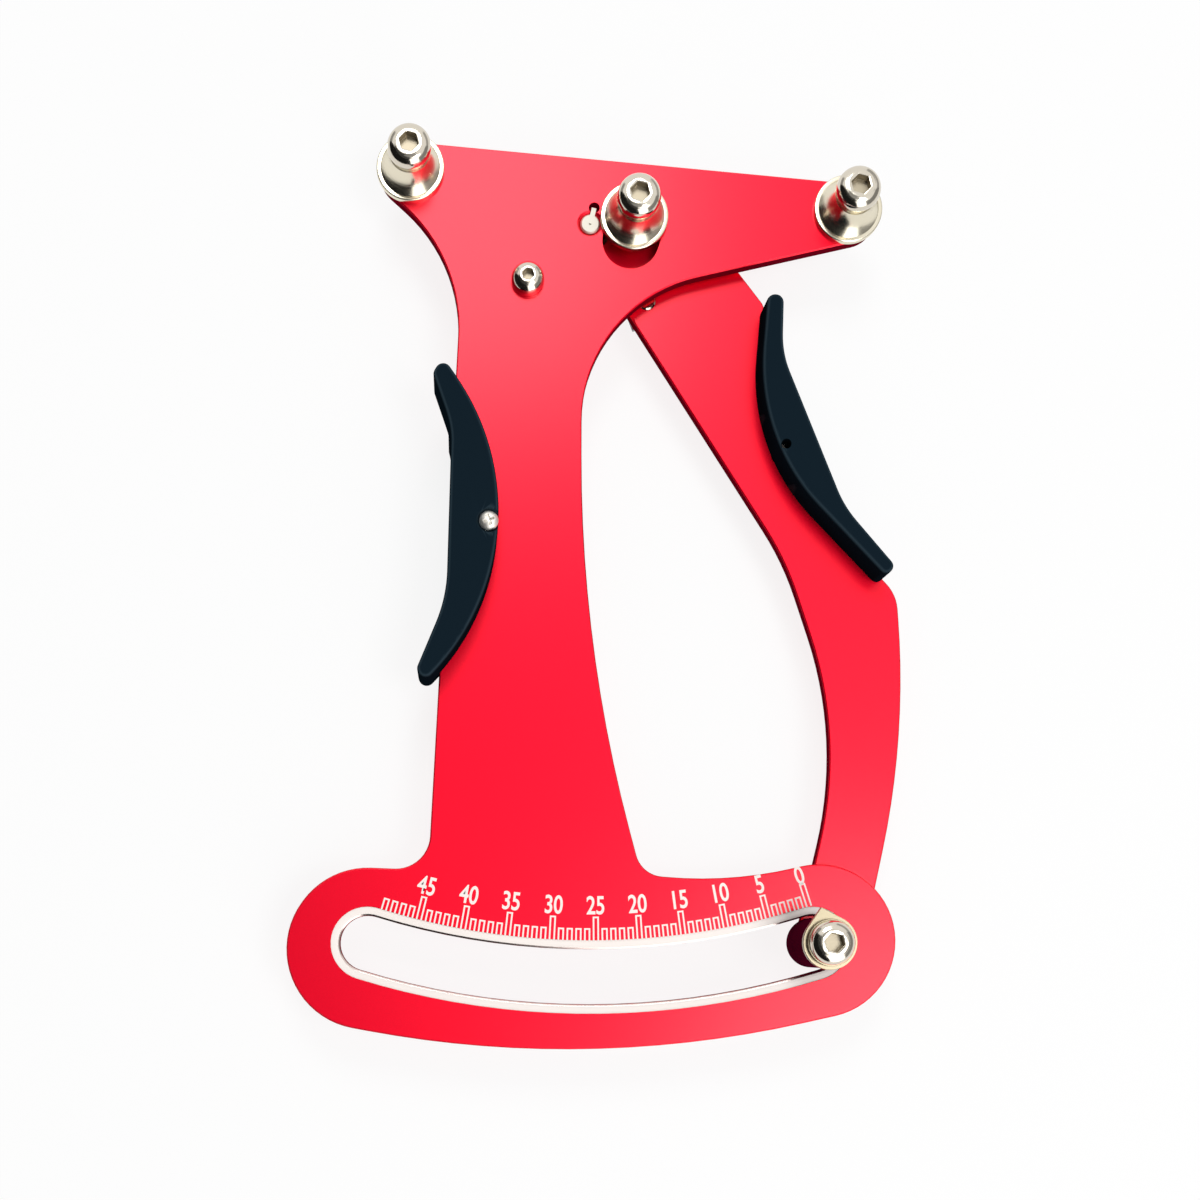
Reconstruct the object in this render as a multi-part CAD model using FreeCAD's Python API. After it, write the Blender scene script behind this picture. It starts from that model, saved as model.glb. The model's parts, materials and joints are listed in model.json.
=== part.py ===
"""Spoke tension meter, lying on its back with its posts up.

A frame plate and a lever plate cross at a pivot. Two fixed posts on the
frame and a middle post on the lever bend a bicycle spoke between them, a
torsion spring sets the force, and the lever's pointer runs along an arc
slot below the scale. Lengths in millimetres, angles in degrees.

The model is laid out from the pivot: x to the right and y up the tool as
its user sees it, z = 0 on the frame plate's front face. At the end it is
moved so that the origin lies under the middle of the tool, on the surface
it lies on.
"""
import FreeCAD
import Part
import math
import os

V = FreeCAD.Vector
FRONT = V(0, 0, 1)

# Plates
frame_thickness = 3.0
lever_thickness = 3.0
plate_gap = 1.0             # between the plates, taken up by a washer
plate_chamfer = 0.3         # broken edges all round
rest_depth = 15.3           # grips' rear faces below the frame plate's front

# Outer posts, from the pivot
post_span = 102.3
post_line_angle = -5.4
left_post_x = -41.9
left_post_y = 12.6
post_pad_radius = 7.0       # rounded ends of the top arm
post_pad_drop = 0.5         # their centres below the posts

# Handle of the frame plate
handle_right = -2.0         # x of its straight right edge
handle_top_left = -29.8     # x of the left edge at the top
handle_bottom_left = -37.8  # x of the left edge at the scale bar
throat_y = -18.5            # under the top arm
throat_radius = 34.6

# Scale bar and its arc slot, centred on the pivot
scale_radius = 175.8
slot_half_angle = 17.2
slot_half_width = 6.45
rim_width = 2.15            # bare metal border round the slot
rim_depth = 0.25
rim_bevel = 1.1
bar_top = 25.0              # bar's upper edge above the slot's lowest point
bar_bottom = 22.1           # bar's lower edge below it
bar_left_radius = 18.8
bar_right_radius = 18.0

# Middle post, from the pivot, and the opening it moves in
middle_post_radius = 10.25
middle_post_angle = 6.6
opening_radius = 6.6
opening_short = 5.5         # degrees it may stop short, being wider than the post
middle_flange_lift = 0.3    # flange runs this far above the frame plate

# Post sleeves
flange_radius = 7.9
flange_height = 1.2
flare_radius = 7.3          # foot of the hollow flare, on the flange
flare_hollow = 0.9          # how deep the flare is dished
waist_radius = 4.2          # where the spoke lies
collar_radius = 4.6
collar_height = 2.2
waist_height = 0.6          # from the collar down to the waist
sleeve_length = 9.1
spigot_radius = 4.3         # middle sleeve, down to the lever

# M6 button-head screws and nuts
m6_radius = 3.0
m6_head_radius = 5.0
m6_head_height = 2.5
m6_hex = 4.0                # across flats of the socket
m6_hex_depth = 1.9
m6_hole_clearance = 0.15
m6_nut_flats = 10.0
m6_nut_height = 3.2         # thin nuts
round_nut_radius = 4.3      # behind the pointer, inside the foot's outline
round_nut_height = 1.6
thread_end = 0.8            # screw past its nut

# Pivot
pin_radius = 2.25
pin_running_clearance = 0.05
pin_below_front = 0.1
pin_tail = 0.8              # pin past the retaining ring
countersink_radius = 3.0
pivot_eye_radius = 7.4
key_x = 0.95
key_y = 3.6
key_radius = 1.25
key_depth = 2.2
key_width = 1.1
washer_radius = 5.0
washer_play = 0.05
bush_radius = 3.1
bush_play = 0.1
bush_length = 5.4
end_washer_thickness = 0.7
ring_radius = 4.0
ring_thickness = 0.6
ring_groove = 0.45

# Torsion spring and what its legs press on
wire_diameter = 1.3
coil_radius = 3.9           # mean
coil_pitch = 1.35
coil_turns = 2
coil_from_lever = 0.8
leg_overhang = 2.2
anchor_x = -14.6
anchor_y = -13.3
spring_pin_x = 13.7
spring_pin_y = -16.3
spring_pin_radius = 2.1
spring_pin_head = 2.9
spring_pin_front = 0.3      # pin's end in front of the lever
spring_pin_tail = 1.2       # rim past its groove
standoff_radius = 3.5
standoff_groove = 2.6
standoff_length = 9.6
leg_groove_play = 0.1

# M4 button-head anchor screw
m4_radius = 2.0
m4_head_radius = 3.8
m4_head_height = 3.2
m4_hex = 2.5
m4_hex_depth = 1.5
m4_length = 9.0             # under the head
m4_hole_clearance = 0.15

# Pointer, at the lever's foot
foot_radius = 4.7
spacer_radius = 5.8
slot_end_gap = 0.2          # between spacer and slot end, at both stops
spacer_above_frame = 12.6
pointer_radius = 6.1
pointer_tip = 8.2
pointer_direction = 104.0
pointer_thickness = 1.2
lock_washer_radius = 5.3
lock_washer_thickness = 1.2

# Grips
grip_rise = 8.3             # front face above its own plate
grip_edge = 1.1             # rounded edges
grip_rear_reach = 25.0      # rear half, from the screw towards the tips
grip_tip_radius = 1.9
grip_notch = 1.65           # plate edge set back under the left grip's wall
grip_screw_radius = 1.45
grip_screw_hole = 0.15
grip_head_radius = 2.2
grip_head_height = 1.6
grip_recess_radius = 2.8
grip_recess_depth = 1.2
grip_screw_reach = 5.0      # past its plate
cross_width = 0.75
cross_length = 2.6
cross_depth = 0.9
left_screw_x = -23.8
left_screw_y = -71.6
right_screw_x = 44.8
right_screw_y = -52.9
right_front_hole = 1.15
right_head_sunk = 0.4       # screw head inside the right grip's rear face

# Levels that follow from the sizes above
frame_rear = -frame_thickness
lever_front = frame_rear - plate_gap
lever_rear = lever_front - lever_thickness
slot_end_play = slot_half_width - spacer_radius - slot_end_gap
foot_angle = slot_half_angle + math.degrees(slot_end_play / scale_radius)
travel = 2 * foot_angle


def polar(radius, angle, z=0.0):
    """Point at a radius and an angle from the pivot."""
    turn = math.radians(angle)
    return V(radius * math.cos(turn), radius * math.sin(turn), z)


left_post = V(left_post_x, left_post_y, 0)
right_post = left_post + polar(post_span, post_line_angle)
middle_post = polar(middle_post_radius, middle_post_angle)
foot = polar(scale_radius, foot_angle - 90)
anchor = V(anchor_x, anchor_y, 0)
spring_post = V(spring_pin_x, spring_pin_y, 0)
left_grip_screw = V(left_screw_x, left_screw_y, 0)
right_grip_screw = V(right_screw_x, right_screw_y, 0)


# Building blocks

def lobe(centre, radius, first, last, count=3):
    """Corners that wrap a circle between two outward directions."""
    corners = []
    step = (last - first) / count
    reach = radius / math.cos(math.radians(step / 2))
    for i in range(count):
        corner = centre + polar(reach, first + step * (i + 0.5))
        corners.append((corner.x, corner.y, radius))
    return corners


def outline(corners, z):
    """Closed wire through (x, y, radius) corners, each rounded by an arc.

    A radius too large for the edges beside its corner is reduced to fit.
    """
    count = len(corners)
    points = [V(x, y, z) for x, y, radius in corners]
    along = []
    lengths = []
    for i in range(count):
        edge = points[(i + 1) % count] - points[i]
        lengths.append(edge.Length)
        along.append(edge / edge.Length)
    turns = [along[i - 1].getAngle(along[i]) for i in range(count)]
    reach = [corners[i][2] * math.tan(turns[i] / 2) for i in range(count)]
    for i in range(count):
        after = (i + 1) % count
        share = min(1.0, lengths[i] / (reach[i] + reach[after] + 1e-9))
        reach[i] *= share
        reach[after] *= share
    edges = []
    for i in range(count):
        start = points[i] - along[i - 1] * reach[i]
        end = points[i] + along[i] * reach[i]
        radius = reach[i] / math.tan(turns[i] / 2)
        inward = along[i] - along[i - 1]
        inward.normalize()
        middle = points[i] + inward * (radius / math.cos(turns[i] / 2) - radius)
        edges.append(Part.Arc(start, middle, end).toShape())
        after = (i + 1) % count
        following = points[after] - along[i] * reach[after]
        if (following - end).Length > 1e-3:
            edges.append(Part.LineSegment(end, following).toShape())
    return Part.Wire(Part.__sortEdges__(edges))


def slab(corners, low, high):
    """Flat solid with a rounded outline between two levels."""
    return Part.Face(outline(corners, low)).extrude(V(0, 0, high - low))


def disc(centre, radius, low, high):
    """Cylinder along z between two levels."""
    return Part.makeCylinder(radius, high - low, V(centre.x, centre.y, low), FRONT)


def ring(centre, outer, inner, low, high):
    """Cylinder with a hole through it."""
    return disc(centre, outer, low, high).cut(disc(centre, inner, low - 1, high + 1))


def turned(points, centre):
    """Solid of revolution about z through a centre, from (r, z) points.

    A point written (r, z, r_mid, z_mid) is reached by an arc.
    """
    start = V(points[0][0], 0, points[0][1])
    edges = []
    here = start
    for point in points[1:]:
        there = V(point[0], 0, point[1])
        if len(point) == 4:
            edges.append(Part.Arc(here, V(point[2], 0, point[3]), there).toShape())
        else:
            edges.append(Part.LineSegment(here, there).toShape())
        here = there
    edges.append(Part.LineSegment(here, start).toShape())
    solid = Part.Face(Part.Wire(edges)).revolve(V(0, 0, 0), FRONT, 360)
    solid.translate(V(centre.x, centre.y, 0))
    return solid


def hexagon(centre, flats, low, high, turn=0.0):
    """Hexagonal prism; turn is the direction that one flat faces."""
    corner = flats / math.sqrt(3)
    points = [centre + polar(corner, turn + 30 + 60 * i, low) for i in range(7)]
    return Part.Face(Part.makePolygon(points)).extrude(V(0, 0, high - low))


def slot_wire(half_width, z):
    """Arc slot about the pivot, as a closed wire at one level."""
    ends = (-90 - slot_half_angle, -90 + slot_half_angle)
    inner = scale_radius - half_width
    outer = scale_radius + half_width
    cap = math.degrees(half_width / scale_radius)
    corners = [polar(inner, ends[0], z), polar(inner, ends[1], z),
               polar(outer, ends[1], z), polar(outer, ends[0], z)]
    middles = [polar(inner, -90, z), polar(scale_radius, ends[1] + cap, z),
               polar(outer, -90, z), polar(scale_radius, ends[0] - cap, z)]
    edges = []
    for i in range(4):
        edges.append(Part.Arc(corners[i], middles[i], corners[(i + 1) % 4]).toShape())
    return Part.Wire(edges)


def button_screw(centre, under_head, end, radius, head_radius, head_height, hex_size, hex_depth):
    """Button-head screw pointing down from under_head to end."""
    top = under_head + head_height
    flat = hex_size * 0.8
    rim = under_head + head_height * 0.12
    bulge_r = head_radius * 0.895
    bulge_z = under_head + head_height * 0.68
    tip = radius * 0.85
    solid = turned([(0, end), (tip, end), (radius, end + radius - tip), (radius, under_head),
                    (head_radius, under_head), (head_radius, rim), (flat, top, bulge_r, bulge_z),
                    (0, top)], centre)
    return solid.cut(hexagon(centre, hex_size, top - hex_depth, top + 1, 75))


def hex_nut(centre, high, height, flats, bore, turn=0.0):
    """Nut below a face, with its rear corners turned off."""
    low = high - height
    corner = flats / math.sqrt(3)
    relief = corner - flats / 2
    blank = turned([(0, low), (flats / 2, low), (corner, low + relief * 0.6), (corner, high), (0, high)],
                   centre)
    return hexagon(centre, flats, low, high, turn).common(blank).cut(disc(centre, bore, low - 1, high + 1))


# Frame plate

def handle_edge(y):
    """x of the handle's left edge, which leans outwards to the scale bar."""
    top = V(handle_top_left, -8.4, 0)
    bottom = V(handle_bottom_left, bar_shoulder(), 0)
    return top.x + (bottom.x - top.x) * (y - top.y) / (bottom.y - top.y)


def bar_shoulder():
    """y of the scale bar's upper edge beside the handle."""
    return -scale_radius + bar_top


def frame_corners():
    """Outline of the frame plate, clockwise from the left post."""
    top = 90 + post_line_angle
    slot_end = polar(scale_radius, slot_half_angle - 90)
    right_end = slot_end + V(1.3, 0.5, 0)
    left_end = V(-slot_end.x - 0.1, slot_end.y - 1.4, 0)
    shoulder = bar_shoulder()
    drop = V(0, -post_pad_drop, 0)
    corners = lobe(left_post + drop, post_pad_radius, 228, top)
    corners += lobe(right_post + drop, post_pad_radius, top, -77.5)
    corners += [(handle_right + 0.1, throat_y, throat_radius),
                (handle_right - 0.1, shoulder + 52.4, 340),
                (handle_right + 14.0, shoulder - 1.1, 6.7),
                (handle_right + 34.9, shoulder - 3.0, 95)]
    corners += lobe(right_end, bar_right_radius, 103, -77)
    corners += [(-1.0, -scale_radius - bar_bottom, 254)]
    corners += lobe(left_end, bar_left_radius, -101, -274)
    corners += [(handle_bottom_left, shoulder, 8)]
    for y, depth in ((-97.5, 0), (-96.0, grip_notch), (-48.0, grip_notch), (-46.5, 0)):
        corners.append((handle_edge(y) + depth, y, 0.8))
    corners += [(handle_top_left, -8.4, 38)]
    return corners


def arc_slot():
    """Through slot with a bevelled, slightly sunk rim on the front."""
    lip = slot_half_width + rim_bevel
    rim = slot_half_width + rim_width
    tool = Part.Face(slot_wire(slot_half_width, frame_rear - 1)).extrude(V(0, 0, frame_thickness + 2))
    bevel = Part.makeLoft([slot_wire(slot_half_width, -rim_depth - rim_bevel),
                           slot_wire(lip, -rim_depth)], True, True)
    sunk = Part.Face(slot_wire(rim, -rim_depth)).extrude(V(0, 0, rim_depth + 1))
    return [tool, bevel, sunk]


def middle_opening():
    """Opening in the frame plate swept by the middle post's spigot."""
    first = middle_post_angle
    last = middle_post_angle - travel + opening_short
    inner = middle_post_radius - opening_radius
    outer = middle_post_radius + opening_radius
    z = frame_rear - 1
    middle = (first + last) / 2
    edges = [Part.Arc(polar(inner, first, z), polar(inner, middle, z), polar(inner, last, z)),
             Part.LineSegment(polar(inner, last, z), polar(outer, last, z)),
             Part.Arc(polar(outer, last, z), polar(outer, middle, z), polar(outer, first, z)),
             Part.LineSegment(polar(outer, first, z), polar(inner, first, z))]
    sector = Part.Face(Part.Wire([edge.toShape() for edge in edges])).extrude(V(0, 0, frame_thickness + 2))
    ends = [disc(polar(middle_post_radius, angle), opening_radius, z, 1) for angle in (first, last)]
    return sector.fuse(ends).removeSplitter()


def key_block(extra):
    """Bar from the pivot pin to its keyway."""
    length = math.hypot(key_x, key_y)
    width = key_width + 2 * extra
    bar = Part.makeBox(length, width, key_depth - pin_below_front - extra,
                       V(0, -width / 2, -key_depth + extra))
    bar.rotate(V(0, 0, 0), FRONT, math.degrees(math.atan2(key_y, key_x)))
    return bar


def broken_edges(plate):
    """Chamfer along both outline edges of a plate."""
    flat = [edge for edge in plate.Edges if abs(edge.BoundBox.ZLength) < 1e-6]
    return plate.makeChamfer(plate_chamfer, flat)


def frame_blank():
    """Frame plate before its holes."""
    return broken_edges(slab(frame_corners(), frame_rear, 0))


def frame_plate():
    """Top arm, handle and scale bar in one flat plate."""
    low = frame_rear - 1
    sink = countersink_radius - pin_radius
    cuts = arc_slot()
    cuts.append(middle_opening())
    cuts.append(disc(V(0, 0, 0), pin_radius, low, 1))
    cuts.append(Part.makeCone(pin_radius, countersink_radius, sink, V(0, 0, -sink), FRONT))
    cuts.append(disc(V(key_x, key_y, 0), key_radius, -key_depth, 1))
    cuts.append(key_block(0).fuse(disc(V(0, 0, 0), pin_radius, -1, 1)))
    for post in (left_post, right_post):
        cuts.append(disc(post, m6_radius + m6_hole_clearance, low, 1))
    cuts.append(disc(anchor, m4_radius + m4_hole_clearance, low, 1))
    cuts.append(disc(left_grip_screw, grip_screw_radius + grip_screw_hole, low, 1))
    return frame_blank().cut(cuts)


# Lever plate

def lever_corners():
    """Outline of the lever, clockwise from the pivot eye."""
    corners = lobe(V(0, 0, 0), pivot_eye_radius, 240, 90 + post_line_angle)
    corners += [(24.2, 5.2, 7), (41.4, -17.2, 3), (42.0, -32.8, 20), (56.4, -68.0, 23),
                (72.8, -85.5, 9.8), (75.3, -118.7, 195), (foot.x + 13.9, foot.y + 6.4, 7.5)]
    corners += lobe(foot, foot_radius, -40, -222)
    corners += [(foot.x - 2.5, foot.y + 4.2, 3), (60.3, -119.6, 91), (46.3, -77.3, 69), (3.9, -10.8, 10)]
    return corners


def lever_blank():
    """Lever plate before its holes."""
    return broken_edges(slab(lever_corners(), lever_rear, lever_front))


def lever_plate():
    """Lever from the pivot eye past the middle post to the pointer foot."""
    low = lever_rear - 1
    high = lever_front + 1
    cuts = [disc(V(0, 0, 0), pin_radius + pin_running_clearance, low, high),
            disc(middle_post, m6_radius + m6_hole_clearance, low, high),
            disc(foot, m6_radius + m6_hole_clearance, low, high),
            disc(spring_post, spring_pin_radius, low, high),
            disc(right_grip_screw, grip_screw_radius + grip_screw_hole, low, high)]
    return lever_blank().cut(cuts)


# Posts

def post_sleeve(centre, base, spigot_end=None):
    """Turned sleeve: flange, hollow flare up to the waist, and collar under the screw's head."""
    bore = m6_radius + m6_hole_clearance
    flange = base + flange_height
    top = base + sleeve_length
    collar = top - collar_height
    waist = collar - waist_height
    edge = flange_height * 0.25
    run = flare_radius - waist_radius
    rise = waist - flange
    slant = math.hypot(run, rise)
    hollow_r = (flare_radius + waist_radius) / 2 - flare_hollow * rise / slant
    hollow_z = (flange + waist) / 2 - flare_hollow * run / slant
    points = [(bore, base)]
    if spigot_end is not None:
        points = [(bore, spigot_end), (spigot_radius, spigot_end), (spigot_radius, base)]
    points += [(flange_radius, base), (flange_radius, flange - edge), (flange_radius - edge, flange),
               (flare_radius, flange), (waist_radius, waist, hollow_r, hollow_z),
               (collar_radius, collar), (collar_radius, top), (bore, top)]
    return turned(points, centre)


def post_screw(centre, base, nut_end):
    """M6 screw down through a sleeve and a plate into its nut."""
    return button_screw(centre, base + sleeve_length, nut_end - thread_end, m6_radius, m6_head_radius,
                        m6_head_height, m6_hex, m6_hex_depth)


# Pivot

def washer_rear():
    return frame_rear - plate_gap + washer_play


def bush_front():
    return lever_rear - bush_play


def bush_rear():
    return bush_front() - bush_length


def end_washer_rear():
    return bush_rear() - end_washer_thickness


def ring_rear():
    return end_washer_rear() - ring_thickness


def pivot_pin():
    """Pin with a centre dimple, a locating key and a groove for its ring."""
    top = -pin_below_front
    end = ring_rear() - pin_tail
    edge = 0.3
    groove = pin_radius - ring_groove
    dimple = 0.35
    pin = turned([(0, end), (pin_radius - edge, end), (pin_radius, end + edge),
                  (pin_radius, ring_rear()), (groove, ring_rear()), (groove, end_washer_rear()),
                  (pin_radius, end_washer_rear()), (pin_radius, top - edge),
                  (pin_radius - edge, top), (dimple, top), (0, top - dimple)], V(0, 0, 0))
    return pin.fuse(key_block(0)).removeSplitter()


def retaining_ring():
    """E-type ring: three inner teeth on the groove, open on one side."""
    low = ring_rear()
    high = end_washer_rear()
    groove = pin_radius - ring_groove
    shape = ring(V(0, 0, 0), ring_radius, pin_radius + 0.3, low, high)
    for angle in (0, 90, 180):
        tooth = Part.makeBox(ring_radius - groove, 1.6, high - low, V(groove, -0.8, low))
        tooth.rotate(V(0, 0, 0), FRONT, angle)
        shape = shape.fuse(tooth.common(disc(V(0, 0, 0), ring_radius, low, high)))
    shape = shape.cut(disc(V(0, 0, 0), groove, low - 1, high + 1))
    mouth = Part.makeBox(3.0, ring_radius * 2, high - low + 2, V(-1.5, -ring_radius * 2, low - 1))
    return shape.cut(mouth).removeSplitter()


# Torsion spring

def wire_levels():
    """Levels of the wire's centre at the lever leg and at the frame leg."""
    turns = (leg_angles()[1] - leg_angles()[0]) / 360
    high = lever_rear - coil_from_lever - wire_diameter / 2
    return high - coil_pitch * turns, high


def leg_angle(post, groove, side):
    """Direction from the pivot to where a leg leaves the coil.

    The leg runs on the line that touches the coil's centre circle and the
    post's groove from opposite sides.
    """
    reach = math.hypot(post.x, post.y)
    apart = coil_radius + groove + wire_diameter / 2
    bearing = math.degrees(math.atan2(post.y, post.x))
    return bearing + side * math.degrees(math.acos(apart / reach))


def leg_angles():
    """Where the lever leg joins the coil's rear end, and the frame leg its front end."""
    lever_leg = leg_angle(spring_post, spring_pin_radius, 1)
    frame_leg = leg_angle(anchor, standoff_groove, -1)
    while frame_leg < lever_leg:
        frame_leg += 360
    return lever_leg, frame_leg + 360 * coil_turns


def leg_reach(post, groove):
    """Length of a leg from the coil to where it crosses its post."""
    reach = math.hypot(post.x, post.y)
    apart = coil_radius + groove + wire_diameter / 2
    return math.sqrt(reach ** 2 - apart ** 2)


def leg_rise(post, groove):
    """How far a leg has climbed, at the coil's own slope, when it crosses its post."""
    return leg_reach(post, groove) * coil_pitch / (2 * math.pi * coil_radius)


def torsion_spring():
    """Coil round the bush; its legs run on straight from the helix's ends."""
    rear_angle = leg_angles()[0]
    rear, front = wire_levels()
    helix = Part.makeHelix(coil_pitch, front - rear, coil_radius)
    helix.rotate(V(0, 0, 0), FRONT, rear_angle)
    helix.translate(V(0, 0, rear))
    curve = helix.Edges[0]
    start = curve.valueAt(curve.FirstParameter)
    end = curve.valueAt(curve.LastParameter)
    lever_way = curve.tangentAt(curve.FirstParameter) * -1
    frame_way = curve.tangentAt(curve.LastParameter)
    lever_end = start + lever_way * (leg_reach(spring_post, spring_pin_radius) + leg_overhang)
    frame_end = end + frame_way * (leg_reach(anchor, standoff_groove) + leg_overhang)
    path = Part.Wire([Part.LineSegment(lever_end, start).toShape(), curve,
                      Part.LineSegment(end, frame_end).toShape()])
    profile = Part.Wire(Part.makeCircle(wire_diameter / 2, lever_end, lever_way))
    return path.makePipeShell([profile], True, True)


def standoff():
    """Grooved standoff behind the frame plate, for the spring's frame leg."""
    end = frame_rear - standoff_length
    level = wire_levels()[1] + leg_rise(anchor, standoff_groove)
    half = wire_diameter / 2 + leg_groove_play
    edge = 0.4
    blank = turned([(0, end), (standoff_radius - edge, end), (standoff_radius, end + edge),
                    (standoff_radius, level - half), (standoff_groove, level - half),
                    (standoff_groove, level + half), (standoff_radius, level + half),
                    (standoff_radius, frame_rear), (0, frame_rear)], anchor)
    return blank.cut(disc(anchor, m4_radius, -m4_length - 1, 1))


def spring_pin():
    """Headed pin pressed into the lever, for the spring's lever leg."""
    level = wire_levels()[0] - leg_rise(spring_post, spring_pin_radius)
    half = wire_diameter / 2 + leg_groove_play
    end = level - half - spring_pin_tail
    top = lever_front + spring_pin_front
    edge = 0.3
    return turned([(0, end), (spring_pin_head - edge, end), (spring_pin_head, end + edge),
                   (spring_pin_head, level - half), (spring_pin_radius, level - half),
                   (spring_pin_radius, level + half), (spring_pin_head, level + half),
                   (spring_pin_head, lever_rear), (spring_pin_radius, lever_rear),
                   (spring_pin_radius, top - edge), (spring_pin_radius - edge, top), (0, top)],
                  spring_post)


# Pointer

def pointer_washer():
    """Round washer drawn out to a pointer tip towards the scale."""
    low = spacer_above_frame
    high = low + pointer_thickness
    spread = math.degrees(math.acos(pointer_radius / pointer_tip))
    tip = foot + polar(pointer_tip, pointer_direction)
    points = [foot + polar(pointer_radius, pointer_direction - spread), tip,
              foot + polar(pointer_radius, pointer_direction + spread), foot]
    points = [V(p.x, p.y, low) for p in points]
    beak = Part.Face(Part.makePolygon(points + [points[0]])).extrude(V(0, 0, high - low))
    body = disc(foot, pointer_radius, low, high).fuse(beak).removeSplitter()
    return body.cut(disc(foot, m6_radius + m6_hole_clearance, low - 1, high + 1))


def pointer_screw():
    """M6 screw through the pointer stack, the slot and the lever's foot."""
    head = spacer_above_frame + pointer_thickness + lock_washer_thickness
    end = lever_rear - round_nut_height - thread_end
    return button_screw(foot, head, end, m6_radius, m6_head_radius, m6_head_height, m6_hex, m6_hex_depth)


def pointer_nut():
    """Low round nut behind the lever's foot, with its rear edge turned off."""
    low = lever_rear - round_nut_height
    edge = round_nut_height * 0.25
    return turned([(m6_radius, low), (round_nut_radius - edge, low), (round_nut_radius, low + edge),
                   (round_nut_radius, lever_rear), (m6_radius, lever_rear)], foot)


# Grips

def left_grip_corners():
    """Crescent outline of the left grip; its hollow side takes the palm."""
    tip = grip_tip_radius
    return [(-36.6, -37.9, tip), (-34.3, -34.1, tip), (-5.8, -75.0, 54), (-38.9, -108.9, tip),
            (-40.3, -105.2, tip), (-33.5, -89.1, 33.4), (-32.3, -50.5, 21.2)]


def right_grip_corners():
    """Crescent outline of the right grip; its hollow side takes the fingers."""
    tip = grip_tip_radius
    return [(44.4, -18.4, tip), (44.1, -31.8, 22.2), (58.4, -67.1, 25.9), (70.2, -80.9, tip * 0.85),
            (67.9, -83.4, tip * 0.85), (37.7, -51.7, 47.7), (40.6, -17.9, tip)]


def rounded_face(body, z):
    """Solid with the edges of its face at one level rounded."""
    rim = [edge for edge in body.Edges
           if edge.BoundBox.ZLength < 1e-6 and abs(edge.BoundBox.ZMin - z) < 1e-6]
    return body.makeFillet(grip_edge, rim)


def grip_body(corners, screw, front, plate_rear, blank):
    """Moulded crescent round the plate's edge, with a shorter half behind the plate."""
    front_half = rounded_face(slab(corners, plate_rear, front), front)
    reach = disc(screw, grip_rear_reach, -rest_depth, plate_rear)
    rear_half = slab(corners, -rest_depth, plate_rear).common(reach)
    rear_half = rounded_face(rear_half, -rest_depth)
    return front_half.fuse(rear_half).removeSplitter().cut(blank)


def left_grip():
    """Grip on the frame's handle, screwed from the front."""
    front = grip_rise
    low = frame_rear - grip_screw_reach - thread_end
    body = grip_body(left_grip_corners(), left_grip_screw, front, frame_rear, frame_blank())
    recess = disc(left_grip_screw, grip_recess_radius, front - grip_recess_depth, front + 1)
    return body.cut([recess, disc(left_grip_screw, grip_screw_radius, low, front)])


def right_grip():
    """Grip on the lever, screwed from the rear."""
    front = lever_front + grip_rise
    body = grip_body(right_grip_corners(), right_grip_screw, front, lever_rear, lever_blank())
    seat = -rest_depth + right_head_sunk + grip_head_height
    recess = disc(right_grip_screw, grip_recess_radius, -rest_depth - 1, seat)
    core = disc(right_grip_screw, grip_screw_radius, -rest_depth, lever_front + grip_screw_reach)
    through = disc(right_grip_screw, right_front_hole, lever_front, front + 1)
    return body.cut([recess, core, through])


def cross_screw(centre, seat, length):
    """Cross-head screw with its head up, from its seat downwards."""
    top = seat + grip_head_height
    end = seat - length
    rim = seat + grip_head_height * 0.35
    r = grip_head_radius
    tip = grip_screw_radius * 0.5
    screw = turned([(0, end), (tip, end), (grip_screw_radius, end + tip * 1.5), (grip_screw_radius, seat),
                    (r, seat), (r, rim), (0, top, r * 0.62, rim + (top - rim) * 0.72)], centre)
    for angle in (20, 110):
        bar = Part.makeBox(cross_length, cross_width, cross_depth + 1,
                           V(-cross_length / 2, -cross_width / 2, top - cross_depth))
        bar.rotate(V(0, 0, 0), FRONT, angle)
        bar.translate(V(centre.x, centre.y, 0))
        screw = screw.cut(bar)
    return screw


def left_screw():
    """Screw from the left grip's front, through the frame plate."""
    seat = grip_rise - grip_recess_depth
    return cross_screw(left_grip_screw, seat, seat - frame_rear + grip_screw_reach)


def right_screw():
    """Screw from the right grip's rear, through the lever plate."""
    seat = rest_depth - right_head_sunk - grip_head_height
    screw = cross_screw(V(0, 0, 0), seat, seat + lever_front + grip_screw_reach)
    screw.rotate(V(0, 0, 0), V(1, 0, 0), 180)
    screw.translate(right_grip_screw)
    return screw


# Assembly

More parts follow.
